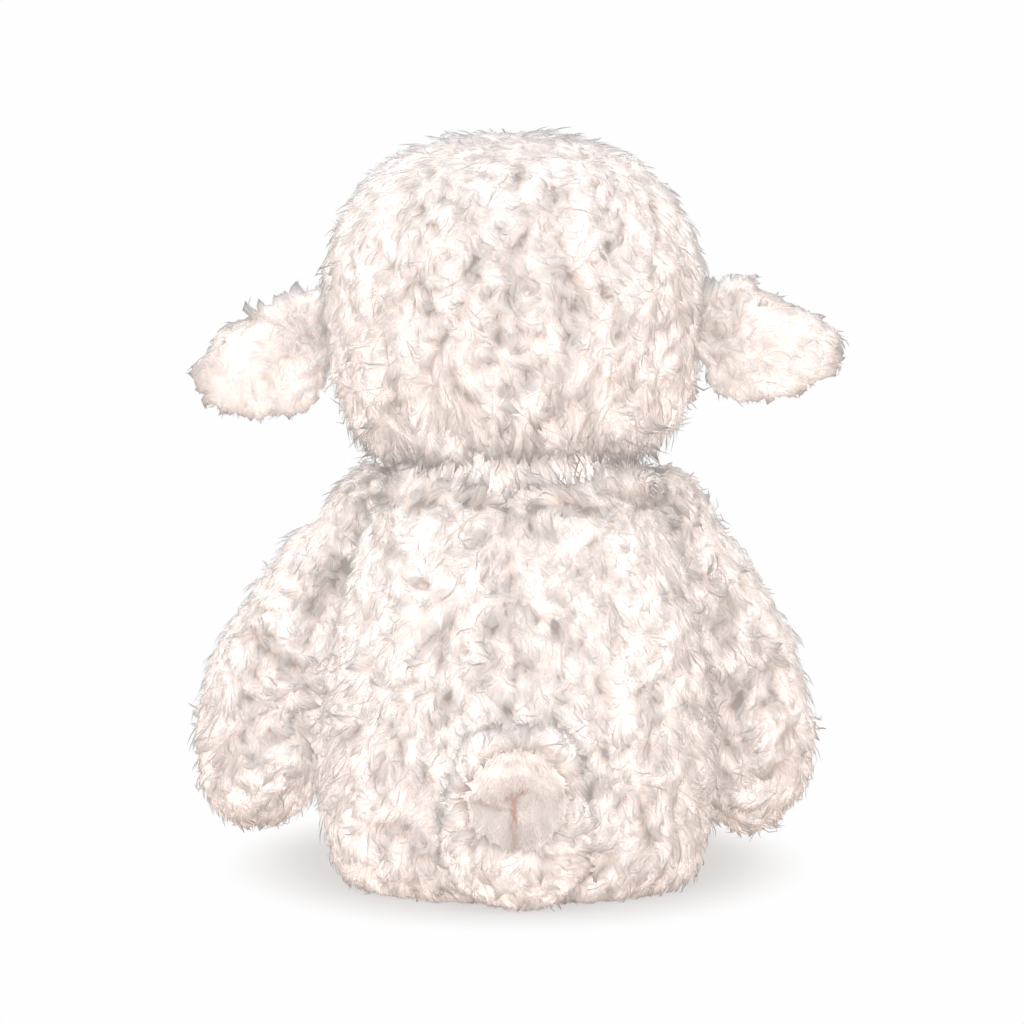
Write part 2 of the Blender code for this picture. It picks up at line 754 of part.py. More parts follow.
def main():
    clear_scene()
    (back, front), filling = make_body()
    neck_at = Vector((0, NECK_Y, NECK_HEIGHT))
    neck_hub = pivot("neck_pivot", neck_at)
    head_hub = pivot("head_pivot", neck_at, turn_about("Y", HEAD_ROLL_DEG))
    make_neck(neck_hub)
    head_cover, head_filling = make_head(head_hub)
    make_face(head_hub, head_cover, head_filling)
    head_pieces = (head_cover, head_filling)
    make_ear(1, "left", EAR_LEFT_DROOP_DEG, head_hub, head_pieces)
    make_ear(-1, "right", EAR_RIGHT_DROOP_DEG, head_hub, head_pieces)
    neck_socket = socket_radius(NECK_BALL_RADIUS, NECK_PLAY)
    cut_sockets((back, front, filling), neck_at, neck_socket, "neck_socket")
    trunk = (back, front, filling)
    make_arm(1, "left", ARM_LEFT_SPREAD_DEG, ARM_LEFT_FORWARD_DEG, trunk)
    make_arm(-1, "right", ARM_RIGHT_SPREAD_DEG, ARM_RIGHT_FORWARD_DEG, trunk)
    make_leg(1, "left", LEG_LEFT_SPLAY_DEG, (front, filling))
    make_leg(-1, "right", LEG_RIGHT_SPLAY_DEG, (front, filling))
    make_tail((back, filling))
    bpy.context.view_layer.update()


main()
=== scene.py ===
# %% [markdown]
# # A stuffed lamb in curly fleece
#
# The lamb sits with its back to us. Nearly all that shows is a knitted-back fleece of short
# polyester fibre, brushed up and steamed so that it gathers in small curled locks. This notebook
# dresses the plain CAD solids in that fleece, then adds the smooth pile of the tail, face, soles
# and ear linings, the eyes and the stitched nose, and lights it as a catalogue picture.

# %% Load the CAD frame
import math

import bmesh
import bpy
import numpy as np
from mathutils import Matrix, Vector, noise
from mathutils.bvhtree import BVHTree
from mathutils.kdtree import KDTree


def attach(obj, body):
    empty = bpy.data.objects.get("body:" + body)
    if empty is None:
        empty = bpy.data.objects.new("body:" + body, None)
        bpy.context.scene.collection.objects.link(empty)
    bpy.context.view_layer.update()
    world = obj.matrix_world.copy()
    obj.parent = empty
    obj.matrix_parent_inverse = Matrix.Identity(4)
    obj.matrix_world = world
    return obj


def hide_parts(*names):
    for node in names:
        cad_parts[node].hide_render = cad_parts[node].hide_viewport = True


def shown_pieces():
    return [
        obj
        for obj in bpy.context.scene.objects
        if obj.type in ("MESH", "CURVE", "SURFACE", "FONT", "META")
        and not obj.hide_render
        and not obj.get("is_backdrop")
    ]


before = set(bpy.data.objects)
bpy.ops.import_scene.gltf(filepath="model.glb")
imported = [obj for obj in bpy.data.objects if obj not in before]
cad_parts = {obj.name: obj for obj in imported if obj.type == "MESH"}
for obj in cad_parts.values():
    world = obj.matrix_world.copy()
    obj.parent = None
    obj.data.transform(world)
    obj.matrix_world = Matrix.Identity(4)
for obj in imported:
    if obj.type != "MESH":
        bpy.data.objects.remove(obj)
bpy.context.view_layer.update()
MM = 0.001
SIDES = ((1, "left"), (-1, "right"))
rng = np.random.default_rng(7)

# %% [markdown]
# ## Camera
#
# The picture was taken from behind, from a few degrees above the table, with a long lens. At the
# lamb a pixel covers 0.40 mm, so 1024 pixels span 0.41 m. A lens of 135 mm on a 36 mm sensor
# sees that width from 1.5 m away, which keeps the perspective as calm as it is in the picture.

# %% Place the camera
SENSOR = 36.0
LENS = 135.0
VIEW_WIDTH = 411 * MM
CAMERA_RISE = math.radians(4.5)
AIM = Vector((2 * MM, 0.0, 148.3 * MM))
distance = VIEW_WIDTH * LENS / SENSOR
camera_data = bpy.data.cameras.new("camera")
camera_data.sensor_width = SENSOR
camera_data.lens = LENS
camera_data.clip_start = 0.05
camera = bpy.data.objects.new("camera", camera_data)
bpy.context.scene.collection.objects.link(camera)
camera.location = AIM + distance * Vector((0, math.cos(CAMERA_RISE), math.sin(CAMERA_RISE)))
camera.rotation_euler = (AIM - camera.location).to_track_quat("-Z", "Y").to_euler()
bpy.context.scene.camera = camera
print("camera stands %.2f m behind the lamb" % distance)

# %% [markdown]
# ## Light and floor
#
# The studio is a pale sweep with soft light all round. One broad softbox hangs above the camera
# and does most of the work, and three weaker ones stand behind the camera, at its left and on
# the far side, where the face is. The world shows as plain white to the camera. So does the
# floor from a hand's width away, and nearer it keeps the contact shadow. The paper is painted
# peach, painted bounce light for the warm colour that pale fleece throws onto it, and to the
# camera that shows only close round the lamb.

# %% Colours and node helpers
def colour(hex_code):
    """An sRGB hex colour as the linear RGBA that Blender's sockets want."""
    parts = [int(hex_code[i:i + 2], 16) / 255 for i in (1, 3, 5)]
    linear = [c / 12.92 if c <= 0.04045 else ((c + 0.055) / 1.055) ** 2.4 for c in parts]
    return (*linear, 1.0)


def add_node(tree, kind, links=(), **settings):
    """Add a node: settings name its own values or sockets, links feed sockets from others."""
    node = tree.nodes.new(kind)
    for key, value in settings.items():
        if hasattr(node, key):
            setattr(node, key, value)
        else:
            node.inputs[key.replace("_", " ")].default_value = value
    for socket, source in dict(links).items():
        tree.links.new(source, node.inputs[socket])
    return node


def new_material(name):
    """An empty node material with its Principled shader and output."""
    material = bpy.data.materials.new(name)
    material.use_nodes = True
    tree = material.node_tree
    tree.nodes.clear()
    shader = add_node(tree, "ShaderNodeBsdfPrincipled")
    output = add_node(tree, "ShaderNodeOutputMaterial")
    tree.links.new(shader.outputs[0], output.inputs["Surface"])
    return material, tree, shader, output


# %% World and lamps
SOFT_LIGHT = 0.31
LAMP_TINT = "#F9FCFF"
LAMP_TARGET = Vector((0, 0, 130 * MM))
world = bpy.data.worlds.new("studio")
bpy.context.scene.world = world
world.use_nodes = True
tree = world.node_tree
tree.nodes.clear()
rays = add_node(tree, "ShaderNodeLightPath")
direct = add_node(tree, "ShaderNodeMath", operation="MAXIMUM",
                  links={0: rays.outputs["Is Camera Ray"], 1: rays.outputs["Is Glossy Ray"]})
seen = add_node(tree, "ShaderNodeMath", operation="MAXIMUM",
                links={0: direct.outputs[0], 1: rays.outputs["Is Transmission Ray"]})
soft = add_node(tree, "ShaderNodeBackground", Color=colour("#FFFCFA"), Strength=SOFT_LIGHT)
paper = add_node(tree, "ShaderNodeBackground", Color=colour("#FEFEFE"), Strength=1.0)
mix = add_node(tree, "ShaderNodeMixShader",
               links={0: seen.outputs[0], 1: soft.outputs[0], 2: paper.outputs[0]})
add_node(tree, "ShaderNodeOutputWorld", links={"Surface": mix.outputs[0]})


def soft_lamp(name, size, power, place):
    """A square softbox that faces the middle of the lamb."""
    data = bpy.data.lights.new(name, "AREA")
    data.size = size
    data.energy = power
    data.color = colour(LAMP_TINT)[:3]
    lamp = bpy.data.objects.new(name, data)
    bpy.context.scene.collection.objects.link(lamp)
    lamp.location = place
    lamp.rotation_euler = (LAMP_TARGET - lamp.location).to_track_quat("-Z", "Y").to_euler()


soft_lamp("front_softbox", 1.0, 0.6, (0.15, 1.7, 0.45))
soft_lamp("top_softbox", 1.2, 4.8, (0.2, 1.1, 1.25))
soft_lamp("left_softbox", 0.7, 1.0, (1.3, 0.7, 0.5))
soft_lamp("face_softbox", 1.0, 3.8, (-0.4, -1.6, 0.6))
bpy.context.scene.view_settings.view_transform = "Standard"

# %% Floor
SHADOW_STRETCH = (1.0, 0.75, 1.0)
SHADOW_SHIFT = (0.0, 34 * MM, 0.0)
FADE_START = 80 * MM
FADE_END = 125 * MM
PAPER_SHARE = 0.62
FLOOR_SIZE = 3.0
FLOOR_DROP = 0.3 * MM
paper_floor, tree, shader, output = new_material("white_backdrop_paper")
# The paper's base colour is painted peach: painted bounce light from the fleece, seen in its
# contact shadow.
shader.inputs["Base Color"].default_value = colour("#F9DFCB")
shader.inputs["Roughness"].default_value = 0.9
coords = add_node(tree, "ShaderNodeTexCoord")
centred = add_node(tree, "ShaderNodeMapping", links={"Vector": coords.outputs["Object"]})
centred.inputs["Location"].default_value = SHADOW_SHIFT
centred.inputs["Scale"].default_value = SHADOW_STRETCH
spread = add_node(tree, "ShaderNodeVectorMath", operation="LENGTH",
                  links={0: centred.outputs[0]})
far = add_node(tree, "ShaderNodeMapRange", interpolation_type="SMOOTHSTEP", To_Min=PAPER_SHARE,
               links={0: spread.outputs["Value"]})
far.inputs["From Min"].default_value = FADE_START
far.inputs["From Max"].default_value = FADE_END
rays = add_node(tree, "ShaderNodeLightPath")
fade = add_node(tree, "ShaderNodeMath", operation="MULTIPLY",
                links={0: far.outputs[0], 1: rays.outputs["Is Camera Ray"]})
bright = add_node(tree, "ShaderNodeEmission", Color=colour("#FEFEFE"), Strength=1.0)
mix = add_node(tree, "ShaderNodeMixShader",
               links={0: fade.outputs[0], 1: shader.outputs[0], 2: bright.outputs[0]})
tree.links.new(mix.outputs[0], output.inputs["Surface"])
bm = bmesh.new()
bmesh.ops.create_grid(bm, x_segments=1, y_segments=1, size=FLOOR_SIZE)
floor_mesh = bpy.data.meshes.new("floor")
bm.to_mesh(floor_mesh)
bm.free()
floor = bpy.data.objects.new("floor", floor_mesh)
bpy.context.scene.collection.objects.link(floor)
floor.location.z = -FLOOR_DROP
floor.data.materials.append(paper_floor)
floor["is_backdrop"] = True
print("floor laid under the seat")

# %% [markdown]
# ## The fleece material
#
# Curly fleece is polyester fibre. Each fibre is clear, so light passes from lock to lock, and the
# hollows stay a warm pale grey while the tips are nearly white. Part of that warmth is painted:
# each lock's root is painted warmer than its tip, painted shade for the hollows. Subsurface
# scattering carries the light through a lock. A lock here is a closed mesh, which stops what real
# fibres hand on, so a small warm emission, painted light, gives that part back; the neck and
# shoulder curls glow more, painted light that lifts the shade under the head. A soft sheen stands
# for the brushed tips. Along each lock run fine streaks about a third of a millimetre apart,
# drawn from the lock's own UV map.
# Where a piece carries a crease value, the pile is painted a darker pink, painted shade for the
# hollow of a seam or fold.

# %% Fleece materials
# The curly root colour is warmer than the tip's: painted shade for the hollows between locks.
TIP, SHADED_ROOT = "#F2F3F5", "#F5EDE8"
SHORN_TIP, SHORN_ROOT = "#F6F3F2", "#F1EBE8"
CREASE_SHADE_PINK = "#E9B9A9"
PATCH_SIZE = 14 * MM
FIBRE_STRETCH = (9.0, 1.4, 1.0)
FIBRE_SCALE = 1.6
TIP_STARTS = 0.75
SCATTER_DEPTH = 7.0 * MM


def pile_material(name, tip, root, streak=0.0, scatter=0.8, glow=0.06,
                  fuzz_mm=0.35, fuzz_depth=0.4):
    """Plush pile: painted root shade to tip by UV, fibre streaks, and a fine fuzz in object
    space.
    """
    material, tree, shader, output = new_material(name)
    coords = add_node(tree, "ShaderNodeTexCoord")
    patch = add_node(tree, "ShaderNodeTexNoise", Scale=1 / PATCH_SIZE, Detail=2.0,
                     links={"Vector": coords.outputs["Object"]})
    fuzz = add_node(tree, "ShaderNodeTexNoise", Scale=1 / (fuzz_mm * MM * 3), Detail=3.0,
                    links={"Vector": coords.outputs["Object"]})
    height = fuzz.outputs[0]
    if streak:
        split = add_node(tree, "ShaderNodeSeparateXYZ", links={0: coords.outputs["UV"]})
        # 0 at the root to 1 near the tip: the mask of the painted root shade.
        along = add_node(tree, "ShaderNodeMapRange", To_Min=0.0, To_Max=1.0,
                         links={0: split.outputs["Y"]})
        along.inputs["From Max"].default_value = TIP_STARTS
        stretch = add_node(tree, "ShaderNodeMapping", links={"Vector": coords.outputs["UV"]})
        stretch.inputs["Scale"].default_value = FIBRE_STRETCH
        fibres = add_node(tree, "ShaderNodeTexNoise", Scale=FIBRE_SCALE, Detail=2.0,
                          links={"Vector": stretch.outputs[0]})
        height = fibres.outputs[0]
        fade = add_node(tree, "ShaderNodeMath", operation="MULTIPLY", use_clamp=True,
                        links={0: along.outputs[0], 1: add_node(
                            tree, "ShaderNodeMapRange", To_Min=0.1, To_Max=1.7,
                            links={0: fibres.outputs[0]}).outputs[0]}).outputs[0]
    else:
        fade = add_node(tree, "ShaderNodeMapRange", links={0: fuzz.outputs[0]}).outputs[0]
    # With streaks the warmer root is painted shade in the hollows; without them root and tip mix
    # at random as tone.
    root_shade_and_tone = add_node(tree, "ShaderNodeMix", data_type="RGBA", links={0: fade})
    root_shade_and_tone.inputs["A"].default_value = colour(root)
    root_shade_and_tone.inputs["B"].default_value = colour(tip)
    # The crease value paints the pile a darker pink: painted shade in the hollow of a seam or
    # fold.
    crease_shade = add_node(tree, "ShaderNodeAttribute", attribute_name="crease_shade")
    crease_shaded = add_node(tree, "ShaderNodeMix", data_type="RGBA",
                       links={0: crease_shade.outputs["Fac"], "A": root_shade_and_tone.outputs["Result"]})
    crease_shaded.inputs["B"].default_value = colour(CREASE_SHADE_PINK)
    tint = add_node(tree, "ShaderNodeMix", data_type="RGBA", blend_type="MULTIPLY",
                    links={0: patch.outputs[0], "A": crease_shaded.outputs["Result"]})
    tint.inputs["B"].default_value = colour("#F2F2F2")
    tree.links.new(tint.outputs["Result"], shader.inputs["Base Color"])
    bump = add_node(tree, "ShaderNodeBump", Strength=streak or 0.5, Distance=fuzz_depth * MM,
                    links={"Height": height})
    tree.links.new(bump.outputs[0], shader.inputs["Normal"])
    shader.inputs["Roughness"].default_value = 0.72
    shader.inputs["IOR"].default_value = 1.45
    shader.inputs["Specular IOR Level"].default_value = 0.1
    shader.inputs["Sheen Weight"].default_value = 0.3
    shader.inputs["Sheen Roughness"].default_value = 0.6
    # The emission is painted light, standing for light that real fibres pass on from lock to
    # lock.
    shader.inputs["Emission Color"].default_value = colour("#FFF7F3")
    shader.inputs["Emission Strength"].default_value = glow
    shader.subsurface_method = "BURLEY"
    shader.inputs["Subsurface Weight"].default_value = scatter
    shader.inputs["Subsurface Radius"].default_value = (1.0, 0.97, 0.95)
    shader.inputs["Subsurface Scale"].default_value = SCATTER_DEPTH
    return material


curly = pile_material("curly_polyester_fleece", TIP, SHADED_ROOT, streak=0.6)
# The neck and shoulder curls glow more: painted light that lifts the shade under the head and in
# the shoulder notches.
glow_lifted_curls = pile_material("neck_fleece", TIP, SHADED_ROOT, streak=0.6, glow=0.085)
thin = pile_material("thin_curly_fleece", TIP, SHADED_ROOT, streak=0.6, scatter=0.62)
smooth = pile_material("short_shorn_plush", SHORN_TIP, SHORN_ROOT, scatter=0.6, glow=0.08,
                       fuzz_mm=0.3)
tail_smooth = pile_material("shorn_tail_plush", SHORN_TIP, SHORN_ROOT, scatter=0.42, glow=0.09,
                            fuzz_mm=0.3)
print("materials:", [m.name for m in (curly, glow_lifted_curls, thin, smooth, tail_smooth)])

# %% [markdown]
# ## Skins under the curls
#
# The fleece is a knitted ground with the locks standing on it. The ground follows each CAD cover,
# drawn in by about half a millimetre to leave room for the locks. A voxel remesh turns the loose
# CAD triangles into even small quads, which also give the locks an even set of places to grow.

# %% Skin helpers
ROOT_SPACING = 3.95 * MM
GROUND_INSET = 0.6 * MM
MERGE = 0.01 * MM


def mesh_of(nodes):
    """One bmesh of some CAD nodes, with their loose triangles joined."""
    bm = bmesh.new()
    for node in nodes:
        bm.from_mesh(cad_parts[node].data)
    bmesh.ops.remove_doubles(bm, verts=bm.verts, dist=MERGE)
    return bm


def new_piece(name, mesh, material, body):
    """Link a finished mesh as a piece that rides on a body."""
    piece = bpy.data.objects.new(name, mesh)
    bpy.context.scene.collection.objects.link(piece)
    mesh.materials.clear()
    mesh.materials.append(material)
    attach(piece, body)
    return piece


def baked(piece):
    """Apply a piece's modifiers to a mesh of its own."""
    view = bpy.context.evaluated_depsgraph_get()
    mesh = bpy.data.meshes.new_from_object(piece.evaluated_get(view))
    piece.modifiers.clear()
    return mesh


def skin(name, nodes, voxel, inset, warp=None):
    """The even skin of some CAD nodes, reshaped by a warp and drawn in along its normals."""
    bm = mesh_of(nodes)
    start = bpy.data.meshes.new(name)
    bm.to_mesh(start)
    bm.free()
    piece = bpy.data.objects.new(name, start)
    bpy.context.scene.collection.objects.link(piece)
    remesh = piece.modifiers.new("even", "REMESH")
    remesh.mode = "VOXEL"
    remesh.voxel_size = voxel
    smoothing = piece.modifiers.new("soften", "SMOOTH")
    smoothing.factor = 0.5
    smoothing.iterations = 4
    mesh = baked(piece)
    bpy.data.objects.remove(piece)
    count = len(mesh.vertices)
    places = np.empty(count * 3)
    mesh.vertices.foreach_get("co", places)
    if warp:
        places = warp(places.reshape(-1, 3)).ravel()
        mesh.vertices.foreach_set("co", places)
        mesh.update()
    normals = np.empty(count * 3)
    mesh.vertex_normals.foreach_get("vector", normals)
    mesh.vertices.foreach_set("co", places - normals * inset)
    mesh.update()
    return mesh, places.reshape(-1, 3), normals.reshape(-1, 3)


# %% [markdown]
# ## One lock
#
# A lock is a flame: narrow at the knit, full in the middle and drawn to a point. Its outline is
# spun round four sides, which is plenty at three millimetres wide. A fibre wisp is the same with
# three sides. Array modifiers lay down thousands of copies, and each copy slides its UV map, so
# that no two locks carry the same streaks.

# %% Spin the flame
def flame(sides, rows):
    """A unit flame along +Z, spun from its outline; UV runs round (u) and along (v)."""
    bm = bmesh.new()
    points = [bm.verts.new((0, 0, 0))]
    points += [bm.verts.new((wide, 0, tall)) for tall, wide in rows]
    points.append(bm.verts.new((0, 0, 1)))
    edges = [bm.edges.new(pair) for pair in zip(points, points[1:])]
    bmesh.ops.spin(bm, geom=points + edges, axis=(0, 0, 1), cent=(0, 0, 0),
                   steps=sides, angle=2 * math.pi, use_merge=True)
    bmesh.ops.remove_doubles(bm, verts=bm.verts, dist=1e-4)
    bmesh.ops.recalc_face_normals(bm, faces=bm.faces)
    layer = bm.loops.layers.uv.new("fibre")
    for face in bm.faces:
        face.smooth = True
        for loop in face.loops:
            x, y, z = loop.vert.co
            loop[layer].uv = (0.5 * x + 0.3 * y, z)
    mesh = bpy.data.meshes.new("flame")
    bm.to_mesh(mesh)
    bm.free()
    return mesh


LOCK_ROWS = ((0.0, 0.5), (0.35, 1.0), (0.7, 0.75))
WISP_ROWS = ((0.0, 0.8), (0.35, 1.0), (0.7, 0.7))
HAIR_ROWS = ((0.0, 0.9), (0.5, 1.0))
lock_shape = flame(4, LOCK_ROWS)
wisp_shape = flame(3, WISP_ROWS)
hair_shape = flame(3, HAIR_ROWS)
print("faces:", [len(shape.polygons) for shape in (lock_shape, wisp_shape, hair_shape)])

# %% [markdown]
# ## Growing the locks
#
# Each root knows the fleece's normal and the way the pile was brushed: down the back, along the
# legs and ears, and up to the neck, each with a slow swirl. A lock leaves the knit steeply, bends
# over with the brushing and curls at its tip. Where another cover lies close, as under an arm,
# the lock is pressed down to fit between them.

# %% Roots
def unit(rows):
    """Rows of vectors scaled to length one."""
    return rows / np.maximum(np.linalg.norm(rows, axis=1, keepdims=True), 1e-9)


def swirl(places, size, seed):
    """A slow angle for each place, from -1 to 1, that changes over about one size."""
    shift = Vector((seed, 2 * seed, 3 * seed))
    return np.array([noise.noise(Vector(p) / size + shift) for p in places])


NEIGHBOUR_REACH = 16 * MM
LEAST_ROOM = 0.4 * MM
RAY_START = 0.6 * MM
JITTER = 0.45


def roots(nodes, places, normals, brushed, reach, spacing):
    """Keep the outer places, jitter them, and give each its normal, brushing and free height."""
    own = BVHTree.FromBMesh(mesh_of(nodes))
    others = BVHTree.FromBMesh(mesh_of([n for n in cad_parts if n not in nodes]))
    keep, free = [], []
    for i, (p, n) in enumerate(zip(places, normals)):
        start = Vector(p) + Vector(n) * RAY_START
        inside = own.ray_cast(start, Vector(n), reach)[0] is not None
        near = others.ray_cast(start, Vector(n), NEIGHBOUR_REACH)
        floor_gap = p[2] / max(-n[2], 1e-3) if n[2] < 0 else NEIGHBOUR_REACH
        room = min(near[3] / 2 if near[0] is not None else NEIGHBOUR_REACH, floor_gap)
        if inside or room < LEAST_ROOM:
            continue
        keep.append(i)
        free.append(room)
    p, n = places[keep], unit(normals[keep])
    side = unit(np.cross(n, rng.normal(size=p.shape)))
    p = p + side * rng.uniform(0, JITTER, (len(p), 1)) * spacing
    flow = brushed(p, n)
    flow = unit(flow - n * np.sum(flow * n, axis=1, keepdims=True))
    return p, n, flow, np.array(free)


def down(p, n):
    """Brushed downward."""
    return np.tile((0.0, 0.0, -1.0), (len(p), 1)) + 0.02 * n


# %% Bend the copies
BEND_STEPS = 12
UV_SLIDE = 0.618
FLOOR_CLEARANCE = 0.25 * MM


def laid(name, shape, place, normal, flow, length, width, thick, rise, turn, wave, phase, hang):
    """Copies of a flame shape, each bent along its own curve; returns the joined mesh."""
    count = len(place)
    strand = bpy.data.objects.new(name, shape)
    bpy.context.scene.collection.objects.link(strand)
    array = strand.modifiers.new("copies", "ARRAY")
    array.use_relative_offset = False
    array.count = count
    array.offset_u = UV_SLIDE
    mesh = baked(strand)
    bpy.data.objects.remove(strand)
    unit_shape = np.array([v.co[:] for v in shape.vertices])
    x, y, s = unit_shape.T
    cross = np.cross(normal, flow)
    curve = np.zeros((BEND_STEPS + 1, count, 3))
    tangents = np.zeros((BEND_STEPS + 1, count, 3))
    for k in range(BEND_STEPS + 1):
        at = k / BEND_STEPS
        lift = rise[0] + (rise[1] - rise[0]) * at ** 0.8
        around = turn * at + wave * np.sin(2 * np.pi * (at * 0.9 + phase))
        level = np.cos(around)[:, None] * flow + np.sin(around)[:, None] * cross
        heading = np.cos(lift)[:, None] * level + np.sin(lift)[:, None] * normal
        heading[:, 2] -= hang * at
        tangents[k] = unit(heading)
        if k < BEND_STEPS:
            curve[k + 1] = curve[k] + tangents[k] * (length / BEND_STEPS)[:, None]
    row = np.clip(s * BEND_STEPS, 0, BEND_STEPS)
    low = np.minimum(row.astype(int), BEND_STEPS - 1)
    part = (row - low)[:, None, None]
    centre = curve[low] * (1 - part) + curve[low + 1] * part
    tangent = tangents[low] * (1 - part) + tangents[low + 1] * part
    up = normal[None] - tangent * np.sum(tangent * normal[None], axis=2, keepdims=True)
    up = up / np.maximum(np.linalg.norm(up, axis=2, keepdims=True), 1e-6)
    sideways = np.cross(tangent, up)
    body = (place[None] + centre + sideways * (x[:, None] * width[None])[:, :, None]
            + up * (y[:, None] * thick[None])[:, :, None])
    points = body.transpose(1, 0, 2).reshape(-1, 3)
    points[:, 2] = np.maximum(points[:, 2], FLOOR_CLEARANCE)
    mesh.vertices.foreach_set("co", points.ravel())
    mesh.update()
    return mesh


def joined(name, meshes):
    """Several meshes as one."""
    bm = bmesh.new()
    for mesh in meshes:
        bm.from_mesh(mesh)
        bpy.data.meshes.remove(mesh)
    whole = bpy.data.meshes.new(name)
    bm.to_mesh(whole)
    bm.free()
    return whole


# %% Gather and comb a patch of fleece
FULL_ROOM = 6.5 * MM
TUFT_SHARE = 0.2
TUFT_PULL = 0.22
SMALL_SWIRL, WIDE_SWIRL = 15 * MM, 42 * MM
LOCK_WIDTHS = (2.0, 3.4)
LOCK_FLATNESS = 0.32
WISPS = 3
WISP_WIDTHS = (0.3, 0.6)
WISP_DEPTHS = (0.2, 0.35)
STRAY_SHARE = 0.1


def gathered(place, normal, flow, forward_by=9.0 * MM, up_by=3.0 * MM):
    """Lean each lock towards the tip of its tuft, so that neighbours close into one flame."""
    heads = rng.permutation(len(place))[:max(int(len(place) * TUFT_SHARE), 1)]
    tree = KDTree(len(heads))
    tips = place[heads] + flow[heads] * forward_by + normal[heads] * up_by
    for number, head in enumerate(heads):
        tree.insert(place[head], number)
    tree.balance()
    tuft = np.array([tree.find(p)[1] for p in place])
    pull = unit(tips[tuft] - place)
    leaned = unit(flow * (1 - TUFT_PULL) + pull * TUFT_PULL)
    return unit(leaned - normal * np.sum(leaned * normal, axis=1, keepdims=True)), tuft


def fleece(name, grown, long=13 * MM, wild=1.0, longer=None, hangs=0.0):
    """The locks and wisps that grow on a set of roots, as a list of meshes.

    The longer function gives each place its gain in length, and hangs says how much the locks
    that gained droop. A wild value of 1 is the full curl.
    """
    p, n, f, room = grown
    count = len(p)
    spin = (0.9 * swirl(p, SMALL_SWIRL, 1.7) + 0.8 * swirl(p, WIDE_SWIRL, 4.1)) * 1.6 * wild
    f = np.cos(spin)[:, None] * f + np.sin(spin)[:, None] * np.cross(n, f)
    f, tuft = gathered(p, n, f)
    fullness = rng.uniform(0.8, 1.2, count)[tuft]
    gain = longer(p) if longer else np.ones(count)
    hang = (gain - 1) * hangs
    spin = rng.normal(0, 0.3, count) * wild
    f = np.cos(spin)[:, None] * f + np.sin(spin)[:, None] * np.cross(n, f)
    press = np.clip(room / FULL_ROOM, 0.12, 1.0)
    length = long * rng.uniform(0.75, 1.15, count) * (0.75 + 0.25 * press) * fullness * gain
    width = rng.uniform(*LOCK_WIDTHS, count) * MM
    rise_low = rng.uniform(0.45, 0.8, count) * press
    rise_high = rng.uniform(-0.3, 0.15, count) * press
    turn = rng.normal(0, 1.2, count) * wild
    wave = rng.uniform(0.2, 0.7, count) * wild
    phase = rng.uniform(0, 1, count)
    sunk = p - n * GROUND_INSET
    meshes = [laid(name, lock_shape, sunk, n, f, length, width, width * LOCK_FLATNESS,
                   (rise_low * 0.8, rise_high), turn, wave, phase, hang)]
    cross = np.cross(n, f)
    for wisp in range(WISPS):
        aside = rng.uniform(-1, 1, count)
        over = rng.uniform(0.15, 0.6, count) * width * press
        near = sunk + cross * (aside * width * 0.9)[:, None] + n * over[:, None]
        stray = np.where(rng.uniform(0, 1, count) < STRAY_SHARE, 0.6, -0.25)
        lean = f + cross * (aside * stray)[:, None]
        meshes.append(laid(name, wisp_shape, near, n, unit(lean),
                           length * rng.uniform(0.7, 1.12, count) * np.where(stray > 0, 0.8, 1.0),
                           rng.uniform(*WISP_WIDTHS, count) * MM,
                           rng.uniform(*WISP_DEPTHS, count) * MM,
                           (rise_low + rng.uniform(-0.05, 0.2, count) * press,
                            rise_high + (stray > 0) * 0.15 * press),
                           turn + rng.normal(0, 0.4, count), wave, phase, hang))
    print(name, "locks:", count, "wisps:", count * WISPS)
    return meshes


# %% [markdown]
# ## Body, head, limbs and ears
#
# The same three steps dress each stuffed part: a skin, its roots, and its locks. Each skin
# stands for the CAD cover under it.

# %% Dress a part
def dress(part, nodes, body, brushed=down, fill=0.8, reach=14 * MM, voxel=ROOT_SPACING,
          inset=GROUND_INSET, material=None, warp=None, **growth):
    """Replace a part's CAD cover with its knitted ground and curls, joined as one fleece."""
    mesh, places, normals = skin(part, nodes, voxel, inset, warp)
    mesh.shade_smooth()
    mesh.uv_layers.new(name="fibre")
    grown = roots(nodes, places, normals, brushed, reach, voxel)
    whole = joined(part + "_fleece", [mesh] + fleece(part, grown, **growth))
    piece = new_piece(whole.name, whole, material or curly, body)
    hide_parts(*nodes)


def forward(p, n):
    """Brushed towards the feet."""
    return np.tile((0.0, -1.0, -0.55), (len(p), 1))


EAR_ROOT = 78 * MM
EAR_LENGTH = 48 * MM
EAR_MIDDLE = 219 * MM


def to_tip(side):
    """Brushed from an ear's root to its tip, and away from its middle near the root."""
    def flow(p, n):
        out = np.clip((abs(p[:, 0]) - EAR_ROOT) / (EAR_LENGTH / 2), 0, 1)
        away = (1 - out) * np.sign(p[:, 2] - EAR_MIDDLE + 0.3 * (abs(p[:, 0]) - EAR_ROOT))
        return np.stack((side * (0.25 + 0.6 * out), 0.01 * out, away - 0.5 * out), axis=1)
    return flow


def leaf(p):
    """An ear's soft leaf: broad where it leaves the head, slim in its outer half."""
    away = abs(p[:, 0])
    slope, level = np.polyfit(away, p[:, 2], 1)
    middle = slope * away + level
    out = (away - EAR_ROOT) / EAR_LENGTH
    above = p[:, 2] > middle
    gain = 1 + np.where(above, 0.75, 0.45) * np.clip(1 - out / 0.38, 0, 1)
    gain -= np.where(above, 0.16, 0.04) * np.clip(1 - abs(out - 0.65) / 0.3, 0, 1)
    gain = np.where(away < EAR_ROOT - 6 * MM, 1.0, gain)
    p = p.copy()
    p[:, 2] = middle + (p[:, 2] - middle) * gain
    return p


